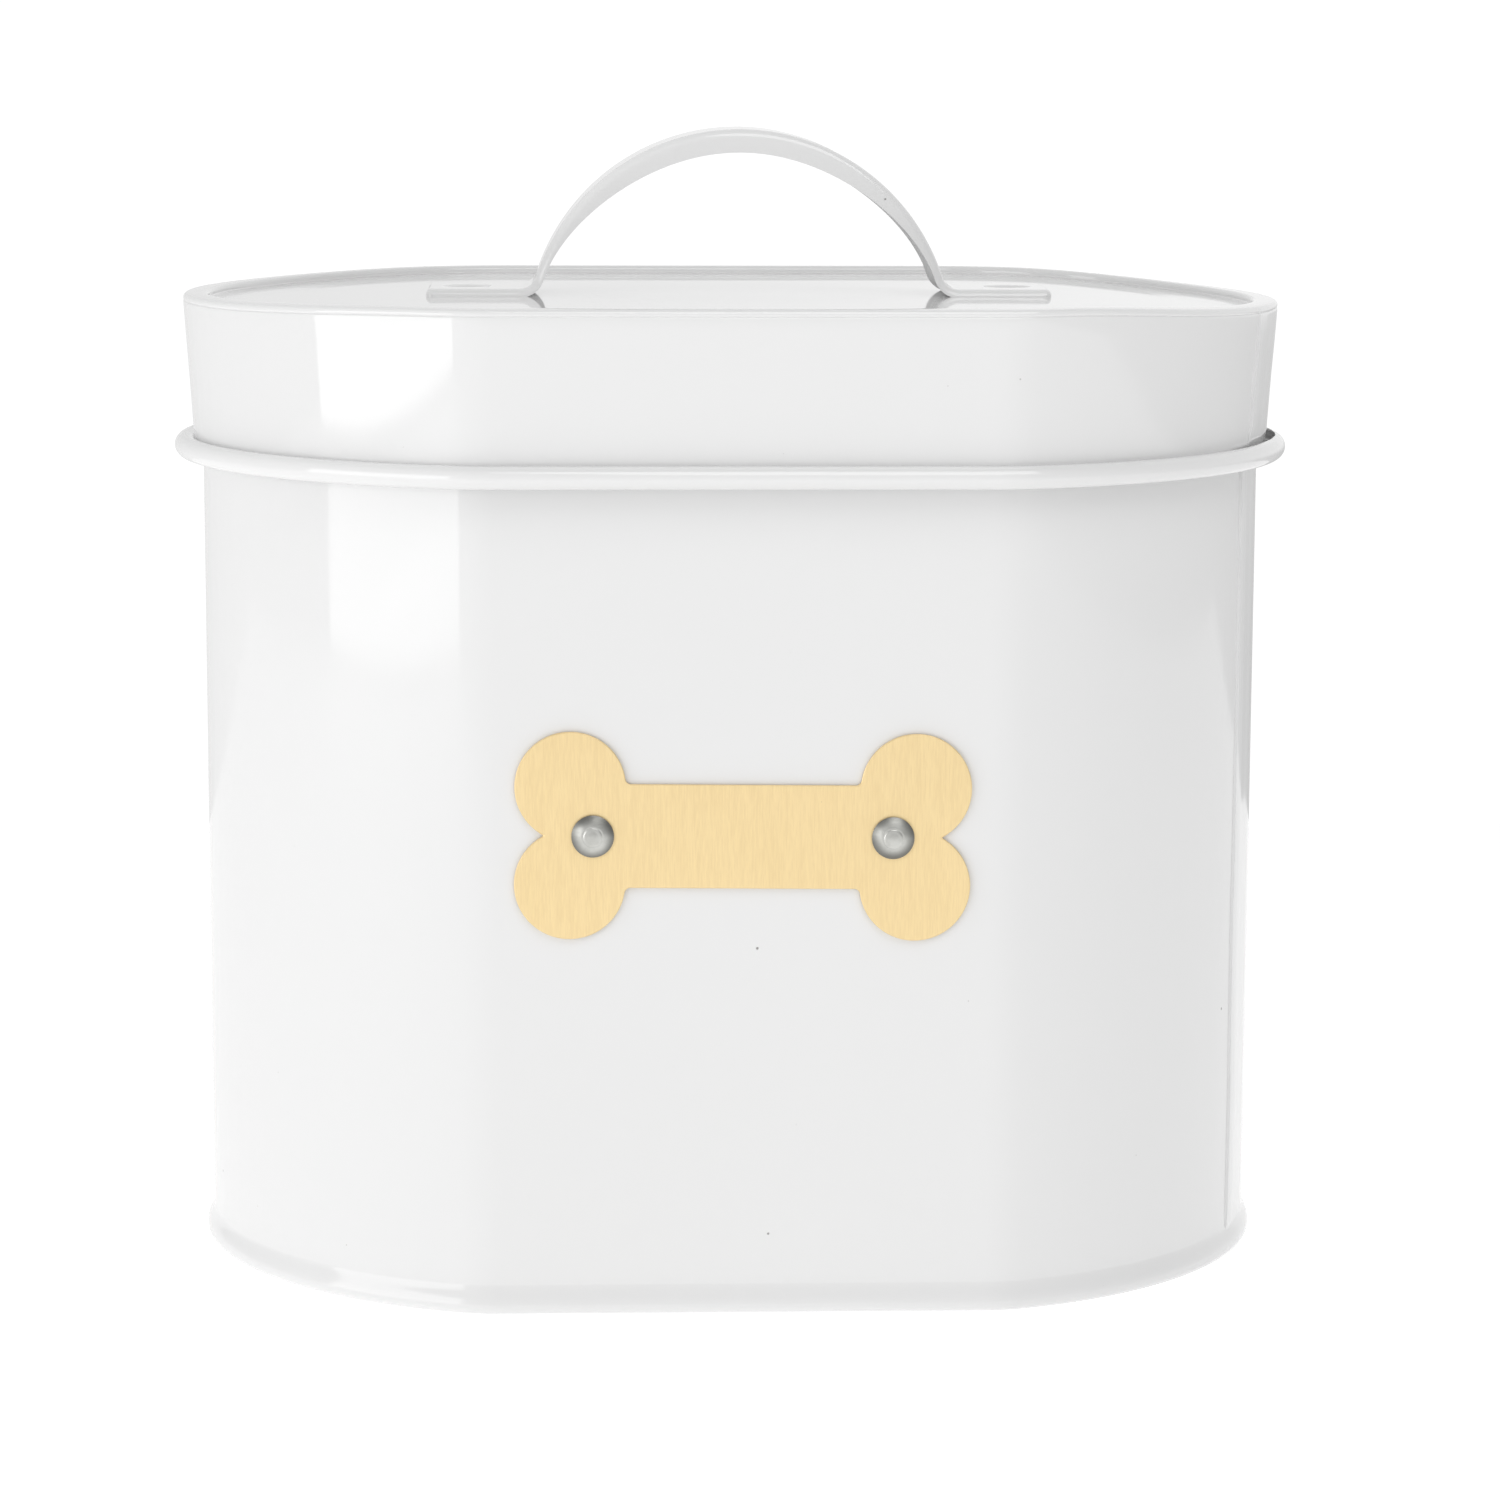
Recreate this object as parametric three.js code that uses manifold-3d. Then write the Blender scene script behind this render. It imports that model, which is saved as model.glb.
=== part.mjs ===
// Oval storage tin with a slip-on lid: an enamelled sheet-steel bin, a strap handle on the lid
// and a bone-shaped brass badge riveted to the front. Millimetres, +Z up, the badge faces -Y,
// and the origin is on the floor under the middle of the tin.
import * as THREE from 'three';
import { mergeVertices } from 'three/addons/utils/BufferGeometryUtils.js';
import Module from 'manifold-3d';

const wasm = await Module();
wasm.setup();

// ---- driving dimensions ----
const HALF_LENGTH = 125;        // outer face of the bin wall, along X
const HALF_DEPTH = 85;          // outer face of the bin wall, along Y
const FLAT_HALF = 55;           // half of the straight run at the front and the back
const SHOULDER_RADIUS = 28;     // bend between a straight run and a round end
const SHEET = 0.5;              // enamelled sheet
const GAP = 0.3;                // clearance between neighbouring pieces

const RIM_TOP = 227;            // highest level of the lid's rolled rim
const PANEL_TOP = 223.6;        // recessed top of the lid
const MOUTH_TOP = PANEL_TOP - SHEET - GAP;
const MOUTH_CURL = 1.25;        // centre-line radius of the bin's inward edge roll

const RIM_REACH = 4.2;          // lid rim, beyond the bin wall
const RIM_RADIUS = 3;           // outer radius of the rolled rim
const SKIRT_FOOT = 2;           // lid skirt just above its lower roll, beyond the bin wall
const LOWER_ROLL = 2.35;        // centre-line radius of the open roll at the skirt's foot
const LOWER_ROLL_LEVEL = 190;   // height of that roll's centre
const ROLL_END = 490;           // direction of its raw edge, degrees, just short of the skirt

const BASE_REACH = 1.6;         // base seam, beyond the bin wall
const BASE_LEVEL = 4.5;         // top of the recessed base panel
const SEAM_HEIGHT = 5.25;       // height of the base seam
const SEAM_CORNER = 0.75;       // bends of the rim that wraps the seam
const SEAM_SHOULDER = 0.5;
const PANEL_BEND = 0.6;         // bend at the edge of the base panel and of the lid's panel
const PANEL_EDGE = 1.4;         // turned-up edge of the lid's panel, above its top
const EDGE_PLACE = 2.45;        // that edge, beyond the bin wall

const STRAP_WIDTH = 28;         // handle, front to back
const STRAP_SHEET = 0.8;
const STRAP_EDGE = 2;           // outer radius along the strap's turned-down edges
const LIP_AT_CROWN = 5.4;       // depth of the turned-down edges at the top of the arch
const LIP_AT_FOOT = 2.9;        // and at the feet
const ARCH_RADIUS = 50.3;       // outer face of the arch
const CROWN_TOP = 264;          // highest point of the tin
const FOOT_BEND = 4;            // bend between the arch and a foot
const FOOT_END = 74;            // outer end of a foot, along X
const WELD_PLACE = 64;          // middle of the pressed weld dish in each foot, along X
const WELD_RADIUS = 5;          // opening of the dish
const WELD_FLOOR = 3.2;         // flat floor of the dish
const WELD_LAP = 0.8;           // width of the dish's flange where it joins the strap

const BADGE_LEVEL = 109.5;      // middle of the badge
const BADGE_SHEET = 0.8;
const BADGE_HALF_LENGTH = 51;
const LOBE_RADIUS = 12.4;
const LOBE_RISE = 11;           // lobe centre, above and below the badge's middle line
const SHAFT_HALF = 11.7;        // half height of the bone's shaft

const RIVET_PLACE = 33.5;       // rivets, left and right of the middle
const RIVET_SHANK = 2.4;
const RIVET_HEAD = 4.75;
const RIVET_DOME = 1.5;         // height of the domed head above its edge
const RIVET_EDGE = 0.2;         // straight edge under the dome
const RIVET_TAIL = 3.6;         // clinched tail inside the bin
const TAIL_DEPTH = 1.3;
const TAIL_BORE = 1.2;          // floor of the tail's hollow, and its mouth
const TAIL_MOUTH = 2.2;
const TAIL_CREST = 3;           // rolled-over edge of the tail

const END_STEPS = 18;           // facets round each end of the oval
const SHOULDER_STEPS = 3;
const BEND_STEPS = 2;           // facets in a small bend
const ROLL_STEPS = 7;           // facets round a rolled edge
const ROUND_STEPS = 24;         // facets round a rivet or a weld dish
const ARCH_STEPS = 28;          // facets along the handle's arch

const QUARTER = Math.PI / 2;

// ---- helpers ----

// Points of a circular arc, from one angle to another in degrees.
function arc(x, y, radius, from, to, steps) {
  return Array.from({ length: steps + 1 }, (_, i) => {
    const angle = THREE.MathUtils.degToRad(from + ((to - from) * i) / steps);
    return new THREE.Vector2(x + radius * Math.cos(angle), y + radius * Math.sin(angle));
  });
}

// The section of a bent sheet: its centre line made as thick as the sheet. The right-hand side
// comes first and the left-hand side returns, so the loop runs anticlockwise.
function thicken(line, sheet) {
  const sides = line.map((point, i) => {
    const before = line[Math.max(i - 1, 0)];
    const after = line[Math.min(i + 1, line.length - 1)];
    const arriving = i > 0 ? point.clone().sub(before).normalize() : after.clone().sub(point).normalize();
    const leaving = i < line.length - 1 ? after.clone().sub(point).normalize() : arriving;
    const along = arriving.clone().add(leaving).normalize();
    const reach = sheet / 2 / along.dot(arriving);
    const across = new THREE.Vector2(along.y, -along.x).multiplyScalar(reach);
    return { right: point.clone().add(across), left: point.clone().sub(across) };
  });
  return [...sides.map((side) => side.right), ...sides.map((side) => side.left).reverse()];
}

// The oval plan: an arc centre, a radius and a direction for each station, anticlockwise from
// the front right shoulder. An end's first and last stations are its shoulders' own.
function ovalStations() {
  const rise = HALF_DEPTH - SHOULDER_RADIUS;
  const run = HALF_LENGTH - FLAT_HALF - SHOULDER_RADIUS;
  const turn = QUARTER - 2 * Math.atan(run / rise);
  const endCentre = FLAT_HALF - rise * Math.tan(turn);
  const endRadius = rise / Math.cos(turn) + SHOULDER_RADIUS;
  const arcs = [
    [FLAT_HALF, -rise, SHOULDER_RADIUS, -QUARTER, turn, SHOULDER_STEPS],
    [endCentre, 0, endRadius, turn - QUARTER, 2 * (QUARTER - turn), END_STEPS],
    [FLAT_HALF, rise, SHOULDER_RADIUS, QUARTER - turn, turn, SHOULDER_STEPS],
    [-FLAT_HALF, rise, SHOULDER_RADIUS, QUARTER, turn, SHOULDER_STEPS],
    [-endCentre, 0, endRadius, QUARTER + turn, 2 * (QUARTER - turn), END_STEPS],
    [-FLAT_HALF, -rise, SHOULDER_RADIUS, -QUARTER - turn, turn, SHOULDER_STEPS],
  ];
  const stations = [];
  for (const [x, y, radius, start, sweep, steps] of arcs) {
    const sharesStations = steps === END_STEPS ? 1 : 0;
    for (let i = sharesStations; i <= steps - sharesStations; i += 1) {
      stations.push({ x, y, radius, angle: start + (sweep * i) / steps });
    }
  }
  return stations;
}

const OVAL = ovalStations();
const AXIS = -HALF_DEPTH;       // offset that stands for the middle of the oval

// Carries a section round the oval. A section point is an offset outward from the bin wall's
// outer face and a height; a section that starts at AXIS closes into a disc.
function sweepOval(section) {
  const isDisc = section[0].x === AXIS;
  const loop = isDisc ? section : [...section, section[0]];
  const rings = loop.map((point) => new THREE.Vector2(point.x - AXIS, point.y));
  const geometry = new THREE.LatheGeometry(rings, OVAL.length);
  const position = geometry.getAttribute('position');
  for (let i = 0; i < position.count; i += 1) {
    const station = OVAL[Math.floor(i / loop.length) % OVAL.length];
    const point = loop[i % loop.length];
    const reach = station.radius + point.x;
    const x = point.x === AXIS ? 0 : station.x + reach * Math.cos(station.angle);
    const y = point.x === AXIS ? 0 : station.y + reach * Math.sin(station.angle);
    position.setXYZ(i, x, y, point.y);
  }
  return geometry;
}

function toSolid(geometry) {
  const bare = geometry.clone();
  bare.deleteAttribute('normal');
  bare.deleteAttribute('uv');
  const merged = mergeVertices(bare, 1e-4);
  const triVerts = new Uint32Array(merged.index.array);
  const vertProperties = new Float32Array(merged.getAttribute('position').array);
  return new wasm.Manifold(new wasm.Mesh({ numProp: 3, vertProperties, triVerts }));
}

function toGeometry(solid) {
  const mesh = solid.getMesh();
  const geometry = new THREE.BufferGeometry();
  geometry.setAttribute('position', new THREE.BufferAttribute(mesh.vertProperties, 3));
  geometry.setIndex(new THREE.BufferAttribute(mesh.triVerts, 1));
  geometry.computeVertexNormals();
  return geometry;
}

// ---- materials ----

function enamel() {
  return new THREE.MeshStandardMaterial({ color: 0xf0f0ee, roughness: 0.18, metalness: 0 });
}

function brass() {
  return new THREE.MeshStandardMaterial({ color: 0xe9cf97, roughness: 0.42, metalness: 0.9 });
}

function rivetSteel() {
  return new THREE.MeshStandardMaterial({ color: 0xa9abac, roughness: 0.35, metalness: 1 });
}

// ---- bin ----

// Side wall: hooked into the base seam below, rolled inward round the mouth above, with a
// clearance hole for each rivet.
function bodyWall() {
  const face = -SHEET / 2;
  const hookBend = (SHEET + GAP) / 2;
  const hookLevel = SHEET + GAP + SHEET / 2 + hookBend;
  const section = thicken([
    new THREE.Vector2(face + 2 * hookBend, SEAM_HEIGHT - 2 * SHEET),
    ...arc(face + hookBend, hookLevel, hookBend, 0, -180, 2 * BEND_STEPS),
    ...arc(face - MOUTH_CURL, MOUTH_TOP - MOUTH_CURL - SHEET / 2, MOUTH_CURL, 0, 270, ROLL_STEPS),
  ], SHEET);
  const drill = new THREE.CylinderGeometry(RIVET_SHANK + GAP, RIVET_SHANK + GAP, 8, ROUND_STEPS);
  const wall = toSolid(sweepOval(section));
  const drills = [-RIVET_PLACE, RIVET_PLACE].map((x) =>
    toSolid(drill.clone().translate(x, -HALF_DEPTH, 0)).translate(0, 0, BADGE_LEVEL));
  return toGeometry(wall.subtract(drills[0]).subtract(drills[1]));
}

// Base: a panel held up off the floor inside a rim that wraps round the wall's lower hook.
function basePanel() {
  const inside = -SHEET - GAP - SHEET / 2;
  const outside = BASE_REACH - SHEET / 2;
  const panel = BASE_LEVEL - SHEET / 2;
  const floor = SEAM_CORNER + SHEET / 2;
  const cover = SEAM_HEIGHT - SHEET / 2;
  return sweepOval(thicken([
    new THREE.Vector2(AXIS, panel),
    ...arc(inside - PANEL_BEND, panel - PANEL_BEND, PANEL_BEND, 90, 0, BEND_STEPS),
    ...arc(inside + SEAM_CORNER, floor, SEAM_CORNER, 180, 270, BEND_STEPS),
    ...arc(outside - SEAM_CORNER, floor, SEAM_CORNER, 270, 360, BEND_STEPS),
    ...arc(outside - SEAM_SHOULDER, cover - SEAM_SHOULDER, SEAM_SHOULDER, 0, 90, BEND_STEPS),
    new THREE.Vector2(SHEET / 2 + GAP, cover),
  ], SHEET));
}

// ---- lid ----

// Skirt: rolled over the edge of the top panel, tapering in to an open outward roll.
function lidSkirt() {
  const rim = RIM_RADIUS - SHEET / 2;
  const foot = SKIRT_FOOT - SHEET / 2;
  return sweepOval(thicken([
    ...arc(RIM_REACH - RIM_RADIUS, RIM_TOP - RIM_RADIUS, rim, 180, 0, ROLL_STEPS),
    ...arc(foot + LOWER_ROLL, LOWER_ROLL_LEVEL, LOWER_ROLL, 180, ROLL_END, ROLL_STEPS + 2),
  ], SHEET));
}

// Top panel: flat, with a turned-up edge inside the rolled rim.
function lidTopPanel() {
  const panel = PANEL_TOP - SHEET / 2;
  return sweepOval(thicken([
    new THREE.Vector2(AXIS, panel),
    ...arc(EDGE_PLACE - PANEL_BEND, panel + PANEL_BEND, PANEL_BEND, 270, 360, BEND_STEPS),
    new THREE.Vector2(EDGE_PLACE, PANEL_TOP + PANEL_EDGE),
  ], SHEET));
}

// ---- handle ----

// Stations along the strap's outer face in the XZ plane, from the left foot over the arch to
// the right foot, each with its outward normal and the depth of the lips there.
function strapStations(footTop) {
  const archCentre = CROWN_TOP - ARCH_RADIUS;
  const bendLevel = footTop + FOOT_BEND;
  const bendPlace = Math.sqrt((ARCH_RADIUS + FOOT_BEND) ** 2 - (bendLevel - archCentre) ** 2);
  const lean = Math.asin((bendLevel - archCentre) / (ARCH_RADIUS + FOOT_BEND));
  const path = new THREE.Path();
  path.moveTo(-FOOT_END, footTop);
  path.lineTo(-bendPlace, footTop);
  path.absarc(-bendPlace, bendLevel, FOOT_BEND, -QUARTER, -lean, false);
  path.absarc(0, archCentre, ARCH_RADIUS, Math.PI - lean, lean, true);
  path.absarc(bendPlace, bendLevel, FOOT_BEND, Math.PI + lean, 3 * QUARTER, false);
  path.lineTo(FOOT_END, footTop);
  const steps = [1, 4, ARCH_STEPS, 4, 1];
  const stations = [];
  path.curves.forEach((curve, c) => {
    for (let i = c === 0 ? 0 : 1; i <= steps[c]; i += 1) {
      const point = curve.getPoint(i / steps[c]);
      const tangent = curve.getTangent(i / steps[c]);
      const climb = THREE.MathUtils.smoothstep(point.y, footTop, CROWN_TOP);
      const lip = THREE.MathUtils.lerp(LIP_AT_FOOT, LIP_AT_CROWN, climb);
      stations.push({ point, normal: new THREE.Vector2(-tangent.y, tangent.x), lip });
    }
  });
  return stations;
}

// The strap's channel section is extruded straight and then bent along its stations.
function bentStrap(footTop) {
  const half = (STRAP_WIDTH - STRAP_SHEET) / 2;
  const bend = STRAP_EDGE - STRAP_SHEET / 2;
  const inner = half - bend;
  const drop = STRAP_EDGE;
  const section = thicken([
    new THREE.Vector2(half, -LIP_AT_CROWN),
    ...arc(inner, -drop, bend, 0, 90, 4),
    ...arc(-inner, -drop, bend, 90, 180, 4),
    new THREE.Vector2(-half, -LIP_AT_CROWN),
  ], STRAP_SHEET);
  const stations = strapStations(footTop);
  const steps = stations.length - 1;
  const geometry = new THREE.ExtrudeGeometry(new THREE.Shape(section), {
    depth: steps, steps, bevelEnabled: false,
  });
  const position = geometry.getAttribute('position');
  for (let i = 0; i < position.count; i += 1) {
    const { point, normal, lip } = stations[Math.round(position.getZ(i))];
    const level = position.getY(i);
    const isLip = level < -STRAP_EDGE - 1e-3;
    const height = isLip ? -lip : level;
    position.setXYZ(i, point.x + height * normal.x, position.getX(i), point.y + height * normal.y);
  }
  return geometry;
}

// Handle: the bent strap, its feet closed at their outer ends, and a dish pressed into each
// foot down to the lid, where it is spot-welded.
function handleStrap() {
  const footTop = PANEL_TOP + GAP + LIP_AT_FOOT;
  const wallHeight = LIP_AT_FOOT - STRAP_SHEET / 2;
  const endWall = new THREE.BoxGeometry(STRAP_SHEET, STRAP_WIDTH - 2 * STRAP_EDGE, wallHeight);
  const opening = new THREE.CylinderGeometry(WELD_RADIUS, WELD_RADIUS, 2 * LIP_AT_FOOT, ROUND_STEPS);
  const dishFloor = PANEL_TOP + GAP + STRAP_SHEET / 2;
  const dishRim = footTop - STRAP_SHEET / 2;
  const dishLine = [
    new THREE.Vector2(0, dishFloor),
    new THREE.Vector2(WELD_FLOOR, dishFloor),
    new THREE.Vector2(WELD_RADIUS, dishRim),
    new THREE.Vector2(WELD_RADIUS + WELD_LAP, dishRim),
  ];
  const dish = new THREE.LatheGeometry(thicken(dishLine, STRAP_SHEET), ROUND_STEPS);
  let handle = toSolid(bentStrap(footTop));
  for (const side of [-1, 1]) {
    const wallPlace = side * (FOOT_END - STRAP_SHEET / 2);
    const wallLevel = footTop - LIP_AT_FOOT + wallHeight / 2;
    handle = handle
      .add(toSolid(endWall.clone().translate(wallPlace, 0, wallLevel)))
      .subtract(toSolid(opening.clone().rotateX(QUARTER).translate(side * WELD_PLACE, 0, footTop)))
      .add(toSolid(dish.clone().rotateX(QUARTER).translate(side * WELD_PLACE, 0, 0)));
  }
  return toGeometry(handle);
}

// ---- badge ----

// Bone outline: four lobes joined by a straight shaft, with a clearance hole for each rivet.
function badgeGeometry() {
  const lobePlace = BADGE_HALF_LENGTH - LOBE_RADIUS;
  const toNotch = Math.asin(LOBE_RISE / LOBE_RADIUS);
  const toShaft = Math.asin((SHAFT_HALF - LOBE_RISE) / LOBE_RADIUS);
  const outline = new THREE.Shape();
  outline.absarc(lobePlace, LOBE_RISE, LOBE_RADIUS, -toNotch, Math.PI - toShaft, false);
  outline.absarc(-lobePlace, LOBE_RISE, LOBE_RADIUS, toShaft, Math.PI + toNotch, false);
  outline.absarc(-lobePlace, -LOBE_RISE, LOBE_RADIUS, Math.PI - toNotch, 2 * Math.PI - toShaft, false);
  outline.absarc(lobePlace, -LOBE_RISE, LOBE_RADIUS, Math.PI + toShaft, 2 * Math.PI + toNotch, false);
  for (const side of [-1, 1]) {
    outline.holes.push(new THREE.Path().absarc(
      side * RIVET_PLACE, 0, RIVET_SHANK + GAP, 0, 2 * Math.PI, true));
  }
  return new THREE.ExtrudeGeometry(outline, {
    depth: BADGE_SHEET, curveSegments: 9, bevelEnabled: false,
  });
}

// Rivet, as heights outward from the bin wall's outer face: clinched hollow tail, shank, and a
// domed head.
function rivetGeometry() {
  const seat = 2 * GAP + BADGE_SHEET;
  const tailTop = -SHEET - GAP;
  const tailEnd = tailTop - TAIL_DEPTH;
  const edge = seat + RIVET_EDGE;
  const domeRadius = (RIVET_HEAD ** 2 + RIVET_DOME ** 2) / (2 * RIVET_DOME);
  const domeStart = THREE.MathUtils.radToDeg(Math.acos(RIVET_HEAD / domeRadius));
  const profile = [
    new THREE.Vector2(0, tailTop),
    new THREE.Vector2(TAIL_BORE, tailTop),
    new THREE.Vector2(TAIL_MOUTH, tailEnd),
    new THREE.Vector2(TAIL_CREST, tailEnd),
    new THREE.Vector2(RIVET_TAIL, tailEnd + TAIL_DEPTH / 2),
    new THREE.Vector2(RIVET_TAIL, tailTop),
    new THREE.Vector2(RIVET_SHANK, tailTop),
    new THREE.Vector2(RIVET_SHANK, seat),
    new THREE.Vector2(RIVET_HEAD, seat),
    ...arc(0, edge + RIVET_DOME - domeRadius, domeRadius, domeStart, 90, 5),
  ];
  profile[profile.length - 1].x = 0;
  return new THREE.LatheGeometry(profile, ROUND_STEPS);
}

// ---- assembly ----

function piece(name, geometry, material) {
  const mesh = new THREE.Mesh(geometry, material);
  mesh.name = name;
  return mesh;
}

function badge() {
  const group = new THREE.Group();
  group.position.set(0, -HALF_DEPTH, BADGE_LEVEL);
  const plate = piece('bone_plate', badgeGeometry(), brass());
  plate.rotation.x = QUARTER;
  plate.position.y = -GAP;
  group.add(plate);
  for (const [name, side] of [['rivet_left', -1], ['rivet_right', 1]]) {
    const rivet = piece(name, rivetGeometry(), rivetSteel());
    rivet.rotation.x = Math.PI;
    rivet.position.x = side * RIVET_PLACE;
    group.add(rivet);
  }
  return group;
}

const bin = new THREE.Group();
bin.add(piece('body_wall', bodyWall(), enamel()));
bin.add(piece('base_panel', basePanel(), enamel()));
bin.add(badge());

const lid = new THREE.Group();
lid.add(piece('lid_skirt', lidSkirt(), enamel()));
lid.add(piece('lid_top_panel', lidTopPanel(), enamel()));
lid.add(piece('handle_strap', handleStrap(), enamel()));

const tin = new THREE.Group();
tin.add(bin, lid);

export default tin;
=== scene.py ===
"""Oval enamelled pet food bin with a slip-on lid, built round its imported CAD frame."""
import math

import bpy
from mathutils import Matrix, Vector, noise


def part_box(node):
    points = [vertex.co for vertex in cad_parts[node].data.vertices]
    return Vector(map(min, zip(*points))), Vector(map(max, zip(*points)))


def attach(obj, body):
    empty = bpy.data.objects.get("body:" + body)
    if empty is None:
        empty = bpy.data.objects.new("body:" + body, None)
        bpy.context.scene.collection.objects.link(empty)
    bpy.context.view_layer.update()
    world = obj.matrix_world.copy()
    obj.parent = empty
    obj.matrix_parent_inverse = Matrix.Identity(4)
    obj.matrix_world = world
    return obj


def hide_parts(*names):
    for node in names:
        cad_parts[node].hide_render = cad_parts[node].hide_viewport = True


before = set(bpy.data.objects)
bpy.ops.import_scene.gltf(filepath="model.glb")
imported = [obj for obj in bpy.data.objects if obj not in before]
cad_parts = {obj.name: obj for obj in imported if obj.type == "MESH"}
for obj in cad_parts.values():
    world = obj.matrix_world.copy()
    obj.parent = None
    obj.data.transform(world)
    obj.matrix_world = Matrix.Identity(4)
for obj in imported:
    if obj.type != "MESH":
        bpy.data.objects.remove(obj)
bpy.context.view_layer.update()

MM = 0.001


def corner(node, which):
    """A node's lowest (0) or highest (1) corner at rest, in millimetres."""
    return [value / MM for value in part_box(node)[which]]


# ---- sizes, in millimetres, from the frame where it holds them ----
SHEET = 0.5
GAP = 0.3
HOOK_REACH = 0.8
HALF_LENGTH = corner("body_wall", 1)[0] - HOOK_REACH
HALF_DEPTH = corner("body_wall", 1)[1] - HOOK_REACH
FLAT_HALF = 55
SHOULDER_RADIUS = 28

MOUTH_TOP = corner("body_wall", 1)[2]
MOUTH_CURL = 1.25
SEAM_HEIGHT = corner("base_panel", 1)[2]
BASE_REACH = corner("base_panel", 1)[0] - HALF_LENGTH
BASE_LEVEL = 4.5

RIM_TOP = corner("lid_skirt", 1)[2]
RIM_REACH = 4.2
RIM_RADIUS = 3
RIM_DIP_LEFT = 1.2
RIM_DIP_RIGHT = 2.4
DIP_BAND = (204, 221)
PANEL_TOP = MOUTH_TOP + SHEET + GAP
PANEL_RISE = 1.5
SKIRT_FOOT = 2
ROLL_RADIUS = 2.35
ROLL_LEVEL = corner("lid_skirt", 0)[2] + ROLL_RADIUS + SHEET / 2

STRAP_SHEET = 0.8
STRAP_CORNER = 2.0
STRAP_BEND = STRAP_CORNER - STRAP_SHEET / 2
STRAP_SIDE = corner("handle_strap", 1)[1] - STRAP_SHEET / 2
STRAP_FLAT = STRAP_SIDE - STRAP_BEND
STRAP_SHIFT = 1.5
CROWN_TOP = corner("handle_strap", 1)[2]
CROWN_LIP = 5.4
ARCH_RADIUS = 50.3
FOOT_END = corner("handle_strap", 1)[0] - 0.6
FOOT_TOP = PANEL_TOP + GAP + 2.9
FOOT_LIP = 1.8
FOOT_BEND = 4
FOOT_TIP = 1.3
TIP_LIP = 2.0
WELD_PLACE = 64
WELD_DEPTH = 2.0
DISH_HALF = 8

BADGE_LEVEL = (corner("bone_plate", 0)[2] + corner("bone_plate", 1)[2]) / 2
BADGE_HALF = corner("bone_plate", 1)[0]
BADGE_BACK = corner("bone_plate", 1)[1]
BADGE_FACE = corner("bone_plate", 0)[1]
LOBE_RADIUS = 12.4
LOBE_RISE = 11
SHAFT_HALF = 11.7
BONE_FILLET = 1.3
ASKEW = math.radians(0.5)

RIVET_PLACE = 33.5
RIVET_HEAD = 4.75
RIVET_DOME = 1.5
RIVET_SEAT = 1.4


# ---- shape helpers ----
def arc(x, y, radius, start, end, steps):
    """Points of an arc between two directions in degrees."""
    turns = [math.radians(start + (end - start) * i / steps) for i in range(steps + 1)]
    return [(x + radius * math.cos(t), y + radius * math.sin(t)) for t in turns]


def line(start, end, steps):
    """Points from start to end, both left out."""
    return [tuple(a + (b - a) * i / steps for a, b in zip(start, end)) for i in range(1, steps)]


def thicken(points, sheet):
    """The closed section of a bent sheet from its centre line, anticlockwise."""
    right, left = [], []
    for i, point in enumerate(points):
        here = Vector(point)
        arriving = (here - Vector(points[i - 1])).normalized() if i else None
        leaving = (Vector(points[i + 1]) - here).normalized() if i + 1 < len(points) else None
        arriving = arriving or leaving
        leaving = leaving or arriving
        along = (arriving + leaving).normalized()
        across = Vector((along.y, -along.x)) * (sheet / 2 / along.dot(arriving))
        right.append(tuple(here + across))
        left.append(tuple(here - across))
    return right + left[::-1]


def smooth(low, high, value):
    """0 at low and 1 at high, with a soft rise between and held beyond."""
    t = min(max((value - low) / (high - low), 0), 1)
    return t * t * (3 - 2 * t)


def oval_stations(end_steps=80, shoulder_steps=8, flat_steps=10):
    """Stations (arc centre x, centre y, radius, direction) all round the oval.

    They go anticlockwise from the front right shoulder. The offset of a section adds to the radius.
    """
    rise = HALF_DEPTH - SHOULDER_RADIUS
    run = HALF_LENGTH - FLAT_HALF - SHOULDER_RADIUS
    turn = math.pi / 2 - 2 * math.atan(run / rise)
    centre = FLAT_HALF - rise * math.tan(turn)
    radius = rise / math.cos(turn) + SHOULDER_RADIUS
    quarter = math.pi / 2
    arcs = (
        (FLAT_HALF, -rise, SHOULDER_RADIUS, -quarter, turn, shoulder_steps),
        (centre, 0, radius, turn - quarter, 2 * (quarter - turn), end_steps),
        (FLAT_HALF, rise, SHOULDER_RADIUS, quarter - turn, turn, shoulder_steps),
        (-FLAT_HALF, rise, SHOULDER_RADIUS, quarter, turn, shoulder_steps),
        (-centre, 0, radius, quarter + turn, 2 * (quarter - turn), end_steps),
        (-FLAT_HALF, -rise, SHOULDER_RADIUS, -quarter - turn, turn, shoulder_steps),
    )
    stations = []
    for number, (x, y, r, start, sweep, steps) in enumerate(arcs):
        stations += [(x, y, r, start + sweep * i / steps) for i in range(steps)]
        if number in (2, 5):
            sign = 1 if number == 2 else -1
            flat = [FLAT_HALF * sign * (1 - 2 * i / flat_steps) for i in range(flat_steps)]
            stations += [(place, y, r, start + sweep) for place in flat]
    return stations


def with_seam(stations, direction, reach):
    """The same stations with a few more close to a seam at the right-hand end, in order."""
    end = [s for s in stations if s[0] > 0 and s[1] == 0]
    x, y, radius, _ = end[0]
    extra = [(x, y, radius, direction + offset / radius) for offset in reach]
    first = stations.index(end[0])
    last = stations.index(end[-1])
    merged = sorted(end + extra, key=lambda s: s[3])
    return stations[:first] + merged + stations[last + 1:]


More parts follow.
